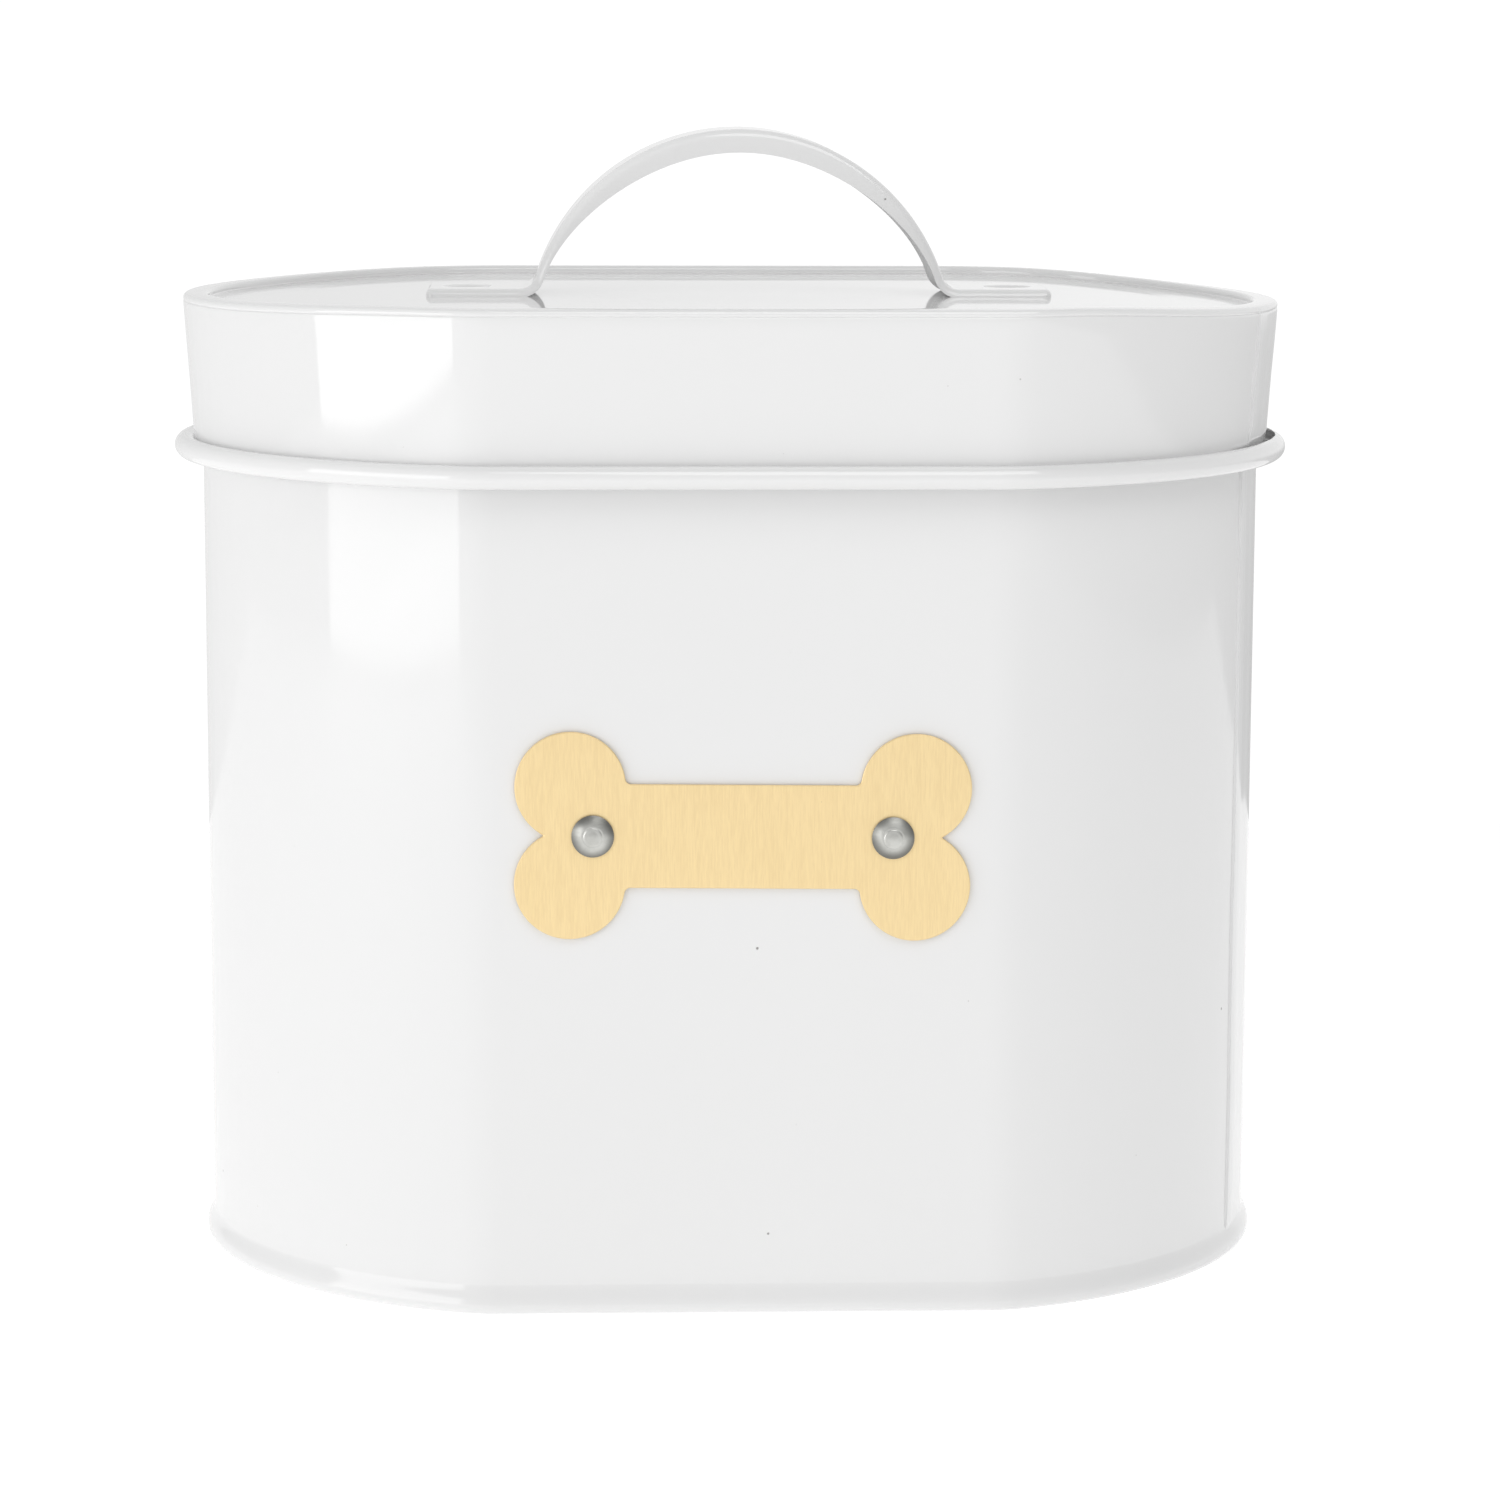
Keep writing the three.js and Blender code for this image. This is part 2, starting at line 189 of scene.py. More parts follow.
def finish_mesh(name, verts, faces, sharp=40):
    mesh = bpy.data.meshes.new(name)
    mesh.from_pydata([tuple(c * MM for c in v) for v in verts], [], faces)
    mesh.validate()
    mesh.shade_smooth()
    mesh.set_sharp_from_angle(angle=math.radians(sharp))
    piece = bpy.data.objects.new(name, mesh)
    bpy.context.collection.objects.link(piece)
    return piece


def settle(point):
    """A point of the lid or mouth, dipping a little towards both ends, more to the right."""
    x, y, z = point
    dip = RIM_DIP_RIGHT if x > 0 else RIM_DIP_LEFT
    return (x, y, z - dip * smooth(FOOT_END - 2, HALF_LENGTH + 4, abs(x)) * smooth(*DIP_BAND, z))


def fill_disc(verts, faces, ring, flip):
    """Closes a ring with smaller and smaller rings and a middle point, bowed a little like real sheet."""
    bow, wave = 0.025, 55
    total = len(ring)
    height = verts[ring[0]][2]
    outer = ring
    for scale in (0.93, 0.85, 0.76, 0.66, 0.55, 0.44, 0.33, 0.22, 0.11):
        inner = [len(verts) + i for i in range(total)]
        for k in ring:
            x, y, _ = verts[k]
            x, y = x * scale, y * scale
            free = smooth(0.97, 0.7, scale)
            verts.append((x, y, height + bow * free * noise.noise((x / wave, y / wave, height))))
        for i in range(total):
            j = (i + 1) % total
            quad = (outer[i], outer[j], inner[j], inner[i])
            faces.append(tuple(reversed(quad)) if flip else quad)
        outer = inner
    verts.append((0, 0, height))
    for i in range(total):
        tri = (outer[i], outer[(i + 1) % total], len(verts) - 1)
        faces.append(tuple(reversed(tri)) if flip else tri)


def sweep_oval(name, section_at, stations, disc=False, place=tuple):
    """Carries a section round the oval. section_at(station) gives (offset, height) points."""
    verts, faces = [], []
    rings = [section_at(station) for station in stations]
    count = len(rings[0])
    for (x, y, radius, direction), section in zip(stations, rings):
        for offset, height in section:
            reach = radius + offset
            verts.append((x + reach * math.cos(direction), y + reach * math.sin(direction), height))
    total = len(stations)
    for i in range(total):
        j = (i + 1) % total
        for k in range(count - 1 if disc else count):
            m = (k + 1) % count
            faces.append((i * count + k, j * count + k, j * count + m, i * count + m))
    if disc:
        fill_disc(verts, faces, [i * count for i in range(total)], True)
        fill_disc(verts, faces, [i * count + count - 1 for i in range(total)], False)
    return finish_mesh(name, [place(v) for v in verts], faces)


def lathe(name, profile, steps, place):
    """A turned piece on an axis along -Y: profile is (radius, height outward) from axis to axis."""
    verts = [(0, -profile[0][1], 0)]
    inner = profile[1:-1]
    for i in range(steps):
        turn = 2 * math.pi * i / steps
        verts += [(r * math.cos(turn), -h, r * math.sin(turn)) for r, h in inner]
    verts.append((0, -profile[-1][1], 0))
    count, last = len(inner), len(verts) - 1
    faces = []
    for i in range(steps):
        a, b = 1 + i * count, 1 + (i + 1) % steps * count
        faces.append((0, a, b))
        faces += [(a + k, a + k + 1, b + k + 1, b + k) for k in range(count - 1)]
        faces.append((a + count - 1, last, b + count - 1))
    verts = [(x + place[0], y + place[1], z + place[2]) for x, y, z in verts]
    return finish_mesh(name, verts, faces)


def dress(piece, body, material, slot, *nodes):
    piece.data.materials.append(material)
    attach(piece, body)
    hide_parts(*nodes)
    return piece


# ---- material helpers ----
class Nodes:
    """A short way to write a node tree."""

    def __init__(self, tree):
        self.tree = tree

    def add(self, kind, **values):
        node = self.tree.nodes.new(kind)
        for key, value in values.items():
            setattr(node, key, value)
        return node

    def link(self, source, target):
        self.tree.links.new(source, target)

    def fill(self, socket, value):
        if isinstance(value, bpy.types.NodeSocket):
            self.link(value, socket)
        else:
            socket.default_value = value

    def math(self, operation, a, b=0.0):
        node = self.add("ShaderNodeMath", operation=operation)
        self.fill(node.inputs[0], a)
        self.fill(node.inputs[1], b)
        return node.outputs[0]

    def spread(self, value, low, high, out_low, out_high):
        """Value from one range to another, held at both ends."""
        node = self.add("ShaderNodeMapRange", interpolation_type="SMOOTHSTEP")
        for socket, given in zip(node.inputs, (value, low, high, out_low, out_high)):
            self.fill(socket, given)
        return node.outputs[0]

    def scaled(self, vector, scale):
        node = self.add("ShaderNodeMapping")
        self.link(vector, node.inputs["Vector"])
        node.inputs["Scale"].default_value = scale
        return node.outputs[0]

    def noise(self, vector, scale, detail=2.0, roughness=0.5):
        node = self.add("ShaderNodeTexNoise")
        self.link(vector, node.inputs["Vector"])
        node.inputs["Scale"].default_value = scale
        node.inputs["Detail"].default_value = detail
        node.inputs["Roughness"].default_value = roughness
        return node.outputs["Fac"]

    def mix(self, factor, a, b):
        node = self.add("ShaderNodeMix", data_type="RGBA")
        self.fill(node.inputs["Factor"], factor)
        self.fill(node.inputs[6], a)
        self.fill(node.inputs[7], b)
        return node.outputs[2]

    def blend(self, factor, a, b):
        """From a to b, for plain values."""
        node = self.add("ShaderNodeMix", data_type="FLOAT")
        for socket, given in zip(node.inputs[:1] + node.inputs[2:4], (factor, a, b)):
            self.fill(socket, given)
        return node.outputs[0]

    def bump(self, height, distance, below=None):
        node = self.add("ShaderNodeBump")
        node.inputs["Strength"].default_value = 1.0
        node.inputs["Distance"].default_value = distance
        self.link(height, node.inputs["Height"])
        if below:
            self.link(below, node.inputs["Normal"])
        return node.outputs[0]


def new_material(name):
    material = bpy.data.materials.new(name)
    material.use_nodes = True
    nodes = Nodes(material.node_tree)
    shader = material.node_tree.nodes["Principled BSDF"]
    place = nodes.add("ShaderNodeTexCoord").outputs["Object"]
    return material, nodes, shader, place


def specks(nodes, place, spacing, size):
    """Sparse round dots: 1 inside a dot, 0 elsewhere."""
    cells = nodes.add("ShaderNodeTexVoronoi")
    nodes.link(place, cells.inputs["Vector"])
    cells.inputs["Scale"].default_value = 1 / spacing
    return nodes.spread(cells.outputs["Distance"], 0.4 * size / spacing, size / spacing, 1.0, 0.0)


def enamel(name, shift, gloss, waviness, coat):
    """Glossy white enamel on sheet steel: orange peel, slow waves, pinholes and dust specks."""
    material, nodes, shader, place = new_material(name)
    moved = nodes.add("ShaderNodeMapping")
    nodes.link(place, moved.inputs["Vector"])
    moved.inputs["Location"].default_value = (shift, shift, shift)
    place = moved.outputs[0]
    cloud = nodes.noise(place, 9.0, 3.0)
    tone = nodes.mix(cloud, (0.805, 0.805, 0.805, 1), (0.825, 0.825, 0.825, 1))
    pits = specks(nodes, place, spacing=0.019, size=0.0004)
    dust = specks(nodes, place, spacing=0.012, size=0.00022)
    marked = nodes.mix(nodes.math("MULTIPLY", pits, 0.75), tone, (0.12, 0.11, 0.10, 1))
    marked = nodes.mix(nodes.math("MULTIPLY", dust, 0.45), marked, (0.30, 0.28, 0.26, 1))
    nodes.link(marked, shader.inputs["Base Color"])
    haze = nodes.noise(place, 60.0, 4.0, 0.6)
    nodes.link(nodes.spread(haze, 0.3, 0.75, gloss, 1.6 * gloss), shader.inputs["Roughness"])
    shader.inputs["IOR"].default_value = 1.52
    shader.inputs["Coat Weight"].default_value = coat
    shader.inputs["Coat Roughness"].default_value = 0.05
    wave = nodes.bump(nodes.noise(place, 16.0, 1.5), waviness)
    peel = nodes.bump(nodes.noise(place, 420.0, 1.0), 0.0000018, wave)
    pinholes = nodes.bump(nodes.math("SUBTRACT", 1.0, pits), 0.00012, peel)
    nodes.link(pinholes, shader.inputs["Normal"])
    return material


def brushed_brass():
    """Pale brass sheet with a fine upright grain under clear lacquer."""
    material, nodes, shader, place = new_material("brushed_brass")
    fine = nodes.noise(nodes.scaled(place, (3200, 3200, 260)), 1.0, 2.0, 0.6)
    broad = nodes.noise(nodes.scaled(place, (700, 700, 60)), 1.0, 2.0)
    cloud = nodes.noise(place, 28.0, 3.0)
    grain = nodes.math("ADD", nodes.math("MULTIPLY", fine, 0.75), nodes.math("MULTIPLY", broad, 0.25))
    dark, light = (0.90, 0.690, 0.365, 1), (0.97, 0.765, 0.420, 1)
    tone = nodes.mix(nodes.spread(grain, 0.3, 0.7, 0.0, 1.0), dark, light)
    stain = nodes.mix(nodes.spread(cloud, 0.45, 0.75, 0.0, 0.12), tone, (0.88, 0.66, 0.34, 1))
    worn = specks(nodes, place, spacing=0.009, size=0.00016)
    stain = nodes.mix(nodes.math("MULTIPLY", worn, 0.35), stain, (0.45, 0.33, 0.16, 1))
    nodes.link(stain, shader.inputs["Base Color"])
    shader.inputs["Metallic"].default_value = 0.55
    nodes.link(nodes.spread(grain, 0.3, 0.7, 0.36, 0.5), shader.inputs["Roughness"])
    shader.inputs["Coat Weight"].default_value = 0.15
    shader.inputs["Coat Roughness"].default_value = 0.2
    nodes.link(nodes.bump(grain, 0.000008), shader.inputs["Normal"])
    return material


def rivet_metal():
    """Dull steel in random rubbed and dull patches, with painted shade darkening each head towards its edge.
    """
    material, nodes, shader, place = new_material("rivet_metal")
    axes = nodes.add("ShaderNodeSeparateXYZ")
    nodes.link(place, axes.inputs[0])
    x, _, z = axes.outputs
    across = nodes.math("SUBTRACT", nodes.math("ABSOLUTE", x), RIVET_PLACE * MM)
    upward = nodes.math("SUBTRACT", z, BADGE_LEVEL * MM)
    squares = nodes.math("ADD", nodes.math("POWER", across, 2), nodes.math("POWER", upward, 2))
    reach = nodes.math("SQRT", squares)
    patch = nodes.noise(place, 300.0, 4.0, 0.6)
    scratch = nodes.noise(nodes.scaled(place, (500, 500, 2400)), 1.0, 2.0)
    rubbed, dull, edge = (0.62, 0.62, 0.59, 1), (0.53, 0.53, 0.50, 1), (0.13, 0.13, 0.12, 1)
    tone = nodes.mix(nodes.spread(patch, 0.35, 0.7, 0.0, 1.0), rubbed, dull)
    # painted shade and painted dark reflection: the head's colour falls to near black towards its rim
    tone = nodes.mix(nodes.spread(reach, 0.0022, 0.0048, 0.0, 0.85), tone, edge)
    nodes.link(tone, shader.inputs["Base Color"])
    shader.inputs["Metallic"].default_value = 1.0
    nodes.link(nodes.spread(scratch, 0.3, 0.7, 0.30, 0.40), shader.inputs["Roughness"])
    nodes.link(nodes.bump(patch, 0.000015), shader.inputs["Normal"])
    return material


# ---- the pieces ----
OVAL = oval_stations()
WALL_SEAM = math.radians(-25)
LID_SEAM = math.radians(-25.5)
WALL_LAP = 0.5
LID_LAP = 0.55
LAP_FADE = (186, 200)
# how far from a seam its extra stations are, close together at the raw edge
SEAM_REACH = [-9, -6, -3] + [0.12 * i for i in range(-14, 13)] + [2.5, 5, 8, 11]


def lap(station, direction, height, step):
    """How far a lapped seam stands out: a groove and a sharp rise at the raw edge, then a slow fall."""
    x, y, radius, turn = station
    if y != 0 or x < 0:
        return 0
    waver = 0.55 * noise.noise((height / 22, direction, 0))
    along = (turn - direction) * radius + waver
    groove = 0.42 * math.exp(-((along + 0.28) / 0.19) ** 2)
    return step * smooth(-0.1, 0.06, along) * (1 - smooth(1.5, 11, along)) - groove


def body_wall():
    """Wall hooked into the base seam below, with its mouth rolled inward."""
    face = -SHEET / 2
    bend = (SHEET + GAP) / 2
    hook_level = SHEET + GAP + SHEET / 2 + bend
    curl_level = MOUTH_TOP - MOUTH_CURL - SHEET / 2
    foot = (face, hook_level)
    top = (face, curl_level)
    centre = [
        (face + 2 * bend, SEAM_HEIGHT - 2 * SHEET),
        *arc(face + bend, hook_level, bend, 0, -180, 6),
        *line(foot, top, 26),
        *arc(face - MOUTH_CURL, curl_level, MOUTH_CURL, 0, 270, 18),
    ]
    section = thicken(centre, SHEET)

    def section_at(station):
        points = []
        for offset, height in section:
            free = smooth(SEAM_HEIGHT, SEAM_HEIGHT + 4, height) * (1 - smooth(*LAP_FADE, height))
            points.append((offset + free * lap(station, WALL_SEAM, height, WALL_LAP), height))
        return points

    stations = with_seam(OVAL, WALL_SEAM, SEAM_REACH)
    return sweep_oval("bin_wall", section_at, stations, place=settle)


def base_panel():
    """Recessed bottom whose rim turns down, out and up, and flares in to the wall."""
    inside = -SHEET - GAP - SHEET / 2
    outside = BASE_REACH - SHEET / 2
    panel = BASE_LEVEL - SHEET / 2
    bend, wrap, heel = 0.6, 0.75, 1.15
    flare_foot, flare_top, flare_reach = 1.7, 6.9, outside + 0.27
    levels = [flare_foot + (flare_top - flare_foot) * i / 18 for i in range(1, 19)]
    flare = [(outside - flare_reach * smooth(flare_foot, flare_top, z), z) for z in levels]
    centre = [
        (-20, panel),
        *arc(inside - bend, panel - bend, bend, 90, 0, 6),
        *arc(inside + wrap, wrap + SHEET / 2, wrap, 180, 270, 7),
        *arc(outside - heel, heel + SHEET / 2, heel, 270, 360, 9),
        *flare,
    ]
    section = thicken(centre, SHEET)
    return sweep_oval("bin_base", lambda station: section, OVAL, disc=True)


def corner_crease(x, top):
    """The fine crease pressed in just under the rim's outer corner, downward from top."""
    depth, level, width = 0.3, 0.45, 0.2
    drops = [0.1 * i for i in range(1, 13)]
    return [(x - depth * math.exp(-((drop - level) / width) ** 2), top - drop) for drop in drops]


def raw_edge(station):
    """Direction in degrees where the foot's roll ends: earlier near the seam, and a little nicked."""
    x, y, radius, turn = station
    closed, opening, nick = 509, 66, 5
    near = smooth(0.85, 0.0, abs(turn + 0.05)) if x > 0 and y == 0 else 0
    nicks = noise.noise((x / 9 + math.cos(turn) * radius / 9, math.sin(turn) * radius / 9, 3.0))
    return closed - opening * near + nick * max(nicks, 0)


def lid_skirt():
    """Skirt with a rounded rim that meets the panel in a small fillet, and a rolled foot."""
    foot = SKIRT_FOOT - SHEET / 2
    crown = RIM_TOP - SHEET / 2
    outside = RIM_REACH - SHEET / 2
    inside = RIM_REACH - 2 * RIM_RADIUS + SHEET / 2
    fillet, inner_bend, corner_bend = 0.6, 0.9, 0.85
    corner_level = crown - corner_bend - 0.1
    crease = corner_crease(outside, corner_level)
    sunk = PANEL_TOP + PANEL_RISE - 0.12

    def section_at(station):
        centre = [
            *arc(inside - fillet, sunk + fillet, fillet, 270, 360, 6),
            *arc(inside + inner_bend, crown - inner_bend, inner_bend, 180, 90, 10)[1:],
            *arc(outside - corner_bend, corner_level, corner_bend, 80, 0, 8),
            *crease,
            *line(crease[-1], (foot, ROLL_LEVEL), 10),
            *arc(foot + ROLL_RADIUS, ROLL_LEVEL, ROLL_RADIUS, 180, raw_edge(station), 28),
        ]
        points = []
        for offset, height in thicken(centre, SHEET):
            free = smooth(RIM_TOP, RIM_TOP - 4, height)
            free *= smooth(ROLL_LEVEL + 3, ROLL_LEVEL + 7, height)
            points.append((offset + free * lap(station, LID_SEAM, height, LID_LAP), height))
        return points

    stations = with_seam(OVAL, LID_SEAM, SEAM_REACH)
    return sweep_oval("lid_side", section_at, stations, place=settle)


def lid_top():
    """Flat top panel with its edge turned up inside the rim."""
    top = PANEL_TOP + PANEL_RISE
    panel = top - SHEET / 2
    edge, bend, upstand = 2.45, 0.6, 0.9
    centre = [
        (-20, panel),
        *arc(edge - bend, panel + bend, bend, 270, 360, 5),
        (edge, top + upstand),
    ]
    section = thicken(centre, SHEET)
    return sweep_oval("lid_panel", lambda station: section, OVAL, disc=True, place=settle)


def strap_path():
    """Stations (point, outward normal, lip depth) from the left foot's end to the right foot's."""
    centre = CROWN_TOP - ARCH_RADIUS
    level = FOOT_TOP + FOOT_BEND
    place = math.sqrt((ARCH_RADIUS + FOOT_BEND) ** 2 - (level - centre) ** 2)
    lean = math.degrees(math.asin((level - centre) / (ARCH_RADIUS + FOOT_BEND)))
    half = [(FOOT_END, PANEL_TOP + GAP)]
    half += arc(FOOT_END - FOOT_TIP, FOOT_TOP - FOOT_TIP, FOOT_TIP, 0, 90, 5)
    half += line((FOOT_END - FOOT_TIP, FOOT_TOP), (place, FOOT_TOP), 44)
    half += arc(place, level, FOOT_BEND, 270, 180 + lean, 10)
    half += arc(0, centre, ARCH_RADIUS, lean, 90, 44)[1:]
    points = [(-x, z) for x, z in half] + half[-2::-1]
    stations = []
    for i, (x, z) in enumerate(points):
        before = Vector(points[max(i - 1, 0)])
        after = Vector(points[min(i + 1, len(points) - 1)])
        along = (after - before).normalized()
        climb = smooth(FOOT_TOP, CROWN_TOP, z)
        lip = FOOT_LIP + (CROWN_LIP - FOOT_LIP) * climb
        if abs(x) > FOOT_END - 2.2:
            lip = TIP_LIP
        stations.append((Vector((x, z)), Vector((-along.y, along.x)), lip))
    return stations


def weld_dish(x, y):
    """How far the foot is pressed down at a point, by the spot weld's dish."""
    distance = math.hypot((abs(x) - WELD_PLACE) / 1.12, y)
    ripple = 0.5 * noise.noise((x / 3, y / 3, 4.0))
    return WELD_DEPTH * (1 - smooth(2.6, 5.2 + ripple, distance))


def strap_section():
    """Section (across, level) of the strap: a flat back with a lip down each side."""
    back = -STRAP_SHEET / 2
    centre = [
        (STRAP_SIDE, -CROWN_LIP),
        *line((STRAP_SIDE, -CROWN_LIP), (STRAP_SIDE, -STRAP_CORNER), 4),
        *arc(STRAP_FLAT, -STRAP_CORNER, STRAP_BEND, 0, 90, 8),
        *line((STRAP_FLAT, back), (-STRAP_FLAT, back), 40),
        *arc(-STRAP_FLAT, -STRAP_CORNER, STRAP_BEND, 90, 180, 8),
        *line((-STRAP_SIDE, -STRAP_CORNER), (-STRAP_SIDE, -CROWN_LIP), 4),
        (-STRAP_SIDE, -CROWN_LIP),
    ]
    return thicken(centre, STRAP_SHEET)


def strap_point(point, normal, lip, across, level):
    """Where a point of the strap's section is at a station, with its lip cut to that station's depth."""
    height = level
    if level < -STRAP_CORNER:
        height = -STRAP_CORNER + (level + STRAP_CORNER) * (lip - STRAP_CORNER) / (CROWN_LIP - STRAP_CORNER)
    x = point.x + height * normal.x
    z = point.y + height * normal.y
    if abs(point.x) > WELD_PLACE - DISH_HALF and abs(across) < STRAP_FLAT:
        z -= weld_dish(point.x, across)
    return (x + STRAP_SHIFT, across, z)


def handle():
    section = strap_section()
    stations = strap_path()
    count = len(section)
    verts = [strap_point(*station, across, level) for station in stations for across, level in section]
    faces = []
    last = len(stations) - 1
    for i in range(last):
        for k in range(count):
            m = (k + 1) % count
            a, b = i * count, (i + 1) * count
            faces.append((a + k, b + k, b + m, a + m))
    for first, flip in ((0, True), (last * count, False)):
        for k in range(count // 2 - 1):
            quad = (first + k, first + k + 1, first + count - 2 - k, first + count - 1 - k)
            faces.append(tuple(reversed(quad)) if flip else quad)
    return finish_mesh("handle", verts, faces, 50)


def bone_outline(inset):
    """Bone outline, anticlockwise from the front: four lobes, a straight shaft and small fillets."""
    lobe, shaft, fillet = LOBE_RADIUS - inset, SHAFT_HALF - inset, BONE_FILLET + inset
    place = BADGE_HALF - LOBE_RADIUS
    notch = math.degrees(math.asin(LOBE_RISE / lobe))
    lift = shaft + fillet - LOBE_RISE
    run = math.sqrt((lobe + fillet) ** 2 - lift ** 2)
    join = math.degrees(math.atan2(lift, -run))
    quarter = arc(place, LOBE_RISE, lobe, 1.5 - notch, join, 60)
    quarter += arc(place - run, shaft + fillet, fillet, join - 180, -90, 8)[1:]
    outline = quarter + [(-x, z) for x, z in reversed(quarter)]
    return outline + [(-x, -z) for x, z in outline]


def askew(point):
    """A point of the badge with the badge hung a touch askew, as riveted by hand."""
    x, y, z = point
    return (x + ASKEW * (z - BADGE_LEVEL), y, z - ASKEW * x)


def bone_badge():
    """Flat bone plate with its front edge worn to a small bevel."""
    wear = 0.2
    rings = ((0, BADGE_BACK), (0, BADGE_FACE + wear), (wear, BADGE_FACE))
    verts, faces = [], []
    for inset, y in rings:
        verts += [(x, y, z + BADGE_LEVEL) for x, z in bone_outline(inset)]
    count = len(verts) // len(rings)
    for ring in range(len(rings) - 1):
        a, b = ring * count, (ring + 1) * count
        faces += [(a + i, a + (i + 1) % count, b + (i + 1) % count, b + i) for i in range(count)]
    faces.append(tuple(reversed(range(count))))
    faces.append(tuple(range(2 * count, 3 * count)))
    badge = finish_mesh("bone_badge", [askew(v) for v in verts], faces)
    badge.data.shade_flat()
    return badge


def rivet(name, x):
    """Domed head with a shallow struck ring, shank, and a clinched tail inside the bin."""
    tail_top = -SHEET - GAP
    tail_end = tail_top - 1.3
    rim = RIVET_SEAT + 0.2
    flat = 0.07
    profile = [
        (0, tail_top), (1.2, tail_top), (2.0, tail_end + 0.2), (2.35, tail_end), (2.9, tail_end),
        (3.4, tail_end + 0.25), (3.6, tail_end + 0.7), (3.6, tail_top), (2.4, tail_top), (2.4, RIVET_SEAT),
        (RIVET_HEAD - 0.2, RIVET_SEAT), (RIVET_HEAD - 0.03, RIVET_SEAT + 0.08), (RIVET_HEAD, rim),
    ]
    radius = (RIVET_HEAD ** 2 + RIVET_DOME ** 2) / (2 * RIVET_DOME)
    start = math.degrees(math.acos(RIVET_HEAD / radius))
    for reach, height in arc(0, rim + RIVET_DOME - radius, radius, start, 90, 44)[1:-1]:
        dip = 0.09 * math.exp(-((reach - 2.15) / 0.2) ** 2)
        profile.append((reach, height - dip - flat * smooth(2.0, 1.2, reach)))
    profile.append((0, rim + RIVET_DOME - flat))
    return lathe(name, profile, 72, askew((x, -HALF_DEPTH, BADGE_LEVEL)))


bin_enamel = enamel("bin_enamel", shift=0.0, gloss=0.07, waviness=0.00016, coat=0.1)
lid_enamel = enamel("lid_enamel", shift=3.7, gloss=0.04, waviness=0.000025, coat=0.4)
brass = brushed_brass()
steel = rivet_metal()

dress(body_wall(), "bin", bin_enamel, "bin_enamel", "body_wall")
dress(base_panel(), "bin", bin_enamel, "bin_enamel", "base_panel")
dress(lid_skirt(), "lid", lid_enamel, "lid_enamel", "lid_skirt")
dress(lid_top(), "lid", lid_enamel, "lid_enamel", "lid_top_panel")
dress(handle(), "lid", lid_enamel, "lid_enamel", "handle_strap")
dress(bone_badge(), "bin", brass, "brass_plate", "bone_plate")
dress(rivet("rivet_head_left", -RIVET_PLACE), "bin", steel, "rivet_steel", "rivet_left")
dress(rivet("rivet_head_right", RIVET_PLACE), "bin", steel, "rivet_steel", "rivet_right")


# ---- floor, light and camera, in metres ----
FLOOR_SIDE, FLOOR_FRONT, FLOOR_BACK = 1.2, -1.6, 0.55
FLOOR_GLOW = 0.52
# left and right ends of each gradient of the surround
ROOM_FRONT = (0.66, 0.52)
ROOM_BACK_HIGH = (0.80, 0.94)
ROOM_BACK_LOW = (0.82, 0.52)
KEY_RADIANCE = 1.85
KEY_DIRECTION = math.radians(56)
KEY_DISTANCE = 1.05
KEY_HEIGHT = 0.262
TOP_RADIANCE = 1.9
CAMERA_PLACE = (-0.03816, -1.1055, 0.2922)
CAMERA_HEADING = 0.0383
CAMERA_TILT = 0.1585
CAMERA_LEAN = math.radians(0.2)


def floor():
    corners = [(-FLOOR_SIDE, FLOOR_FRONT, 0), (FLOOR_SIDE, FLOOR_FRONT, 0),
               (FLOOR_SIDE, FLOOR_BACK, 0), (-FLOOR_SIDE, FLOOR_BACK, 0)]
    mesh = bpy.data.meshes.new("floor")
    mesh.from_pydata(corners, [], [(0, 1, 2, 3)])
    plane = bpy.data.objects.new("floor", mesh)
    bpy.context.collection.objects.link(plane)
    material, _, shader, _ = new_material("pale_floor")
    shader.inputs["Base Color"].default_value = (0.7, 0.7, 0.7, 1)
    shader.inputs["Roughness"].default_value = 0.9
    shader.inputs["Specular IOR Level"].default_value = 0.1
    shader.inputs["Emission Color"].default_value = (1, 1, 1, 1)
    shader.inputs["Emission Strength"].default_value = FLOOR_GLOW
    mesh.materials.append(material)


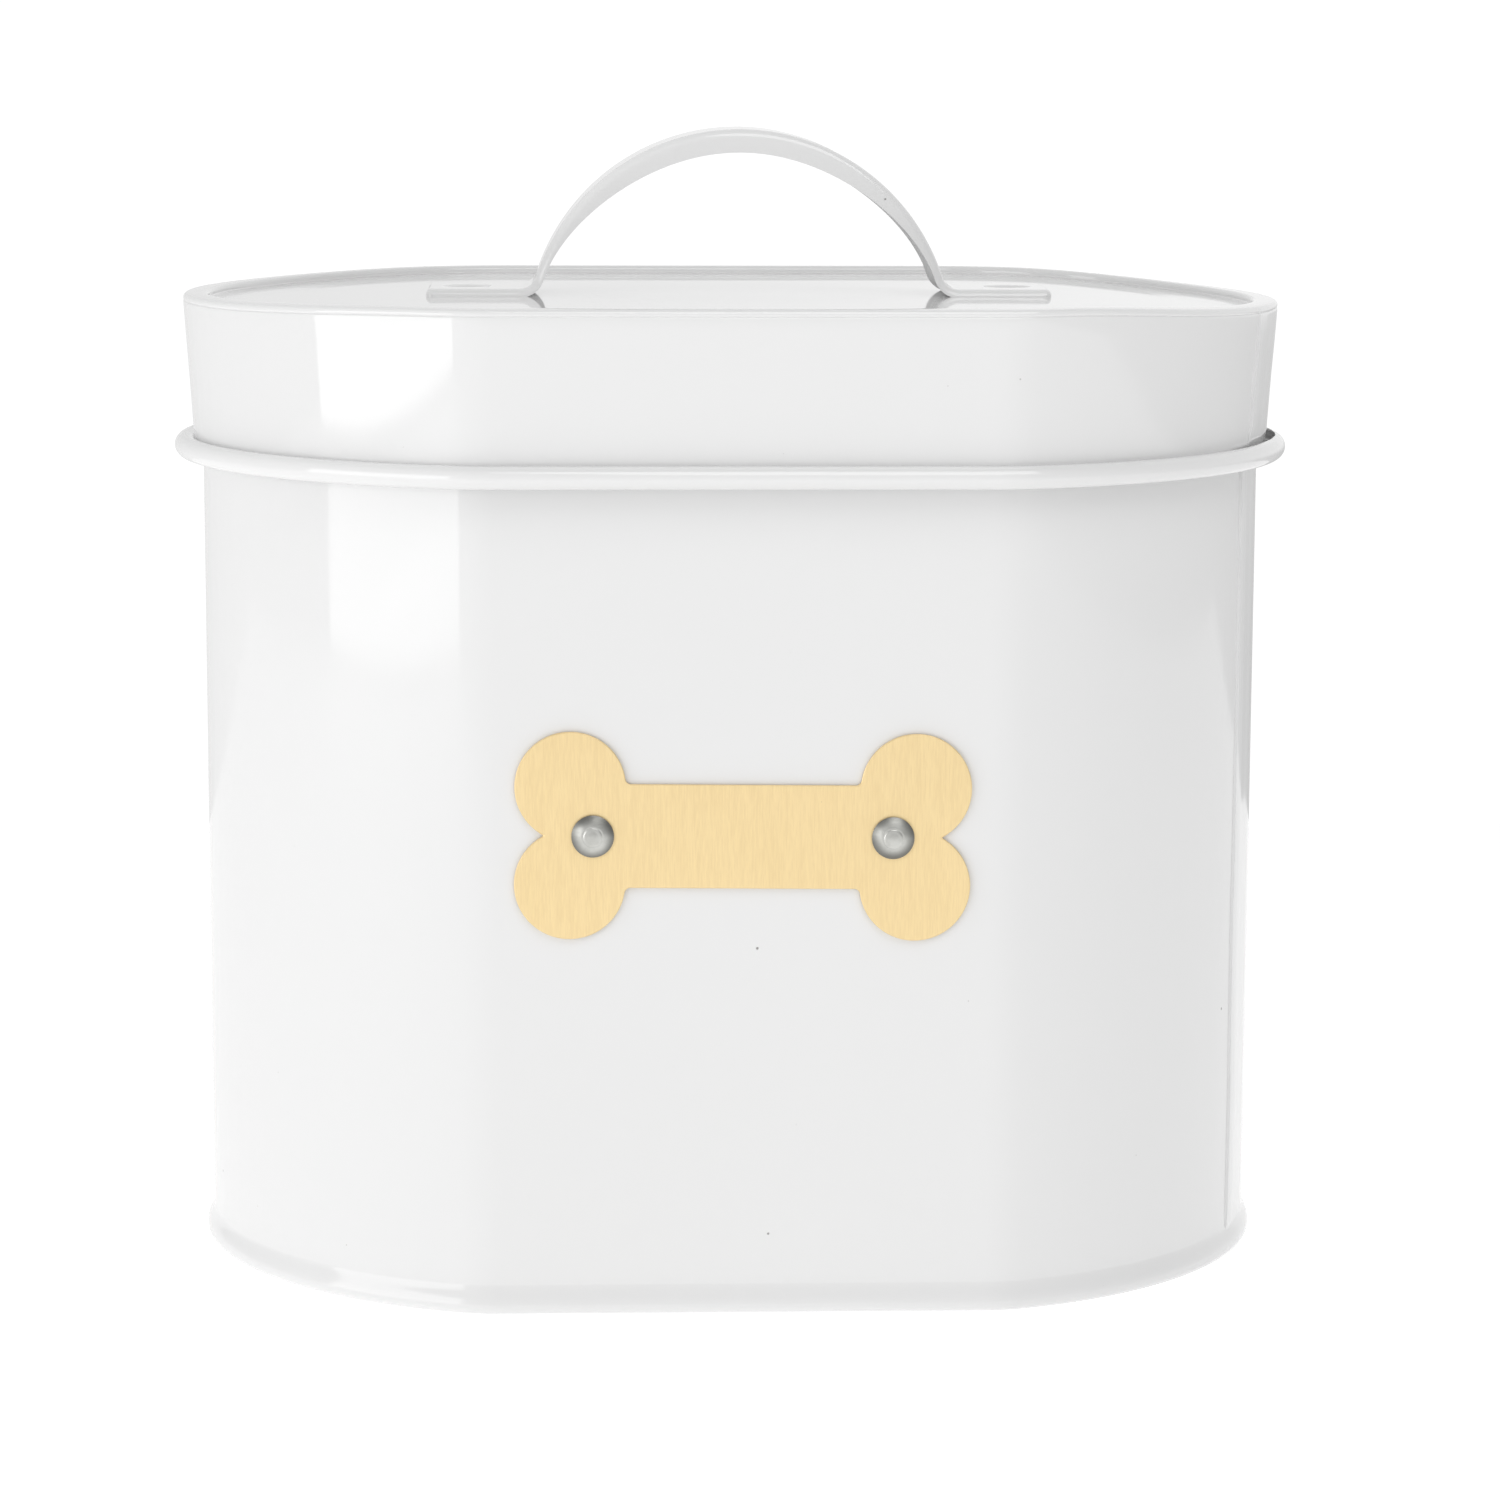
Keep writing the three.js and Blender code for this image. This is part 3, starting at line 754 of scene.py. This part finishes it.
def softbox(name, place, target, width, height, radiance):
    """A rectangular light at place that faces target."""
    light = bpy.data.lights.new(name, "AREA")
    light.shape = "RECTANGLE"
    light.size = width
    light.size_y = height
    light.energy = radiance * math.pi * width * height
    lamp = bpy.data.objects.new(name, light)
    lamp.location = place
    lamp.rotation_euler = (Vector(target) - Vector(place)).to_track_quat("-Z", "Y").to_euler()
    lamp.visible_camera = False
    bpy.context.collection.objects.link(lamp)


def studio():
    """A plain white surround, seen white by the camera and softly uneven by the bin."""
    world = bpy.data.worlds.new("studio")
    bpy.context.scene.world = world
    world.use_nodes = True
    nodes = Nodes(world.node_tree)
    background = world.node_tree.nodes["Background"]
    direction = nodes.add("ShaderNodeSeparateXYZ")
    nodes.link(nodes.add("ShaderNodeTexCoord").outputs["Generated"], direction.inputs[0])
    x, y, z = direction.outputs
    front = nodes.spread(x, -0.8, 0.8, *ROOM_FRONT)
    back_high = nodes.spread(x, -0.15, 0.15, *ROOM_BACK_HIGH)
    back_low = nodes.spread(x, -0.3, 0.4, *ROOM_BACK_LOW)
    back = nodes.blend(nodes.spread(z, -0.14, 0.04, 0.0, 1.0), back_low, back_high)
    room = nodes.blend(nodes.spread(y, -0.2, 0.7, 0.0, 1.0), front, back)
    room = nodes.math("MULTIPLY", room, nodes.spread(z, 0.7, 0.95, 1.0, 0.75))
    seen = nodes.add("ShaderNodeLightPath").outputs["Is Camera Ray"]
    nodes.link(nodes.math("MAXIMUM", room, nodes.math("MULTIPLY", seen, 1.05)), background.inputs["Strength"])
    background.inputs["Color"].default_value = (1, 1, 1, 1)


floor()
studio()
key_x = -KEY_DISTANCE * math.sin(KEY_DIRECTION)
key_y = -KEY_DISTANCE * math.cos(KEY_DIRECTION)
softbox("key_softbox", (key_x, key_y, KEY_HEIGHT), (0, 0, KEY_HEIGHT), 0.84, 0.5, KEY_RADIANCE)
softbox("top_softbox", (0.22, -0.55, 0.85), (0, 0, 0.15), 0.6, 0.5, TOP_RADIANCE)

camera_data = bpy.data.cameras.new("camera")
camera_data.sensor_width = 36
camera_data.lens = 111.6
camera = bpy.data.objects.new("camera", camera_data)
camera.location = CAMERA_PLACE
camera.rotation_euler = (math.pi / 2 - CAMERA_TILT, -CAMERA_LEAN, -CAMERA_HEADING)
bpy.context.collection.objects.link(camera)
bpy.context.scene.camera = camera
bpy.context.scene.view_settings.view_transform = "Standard"
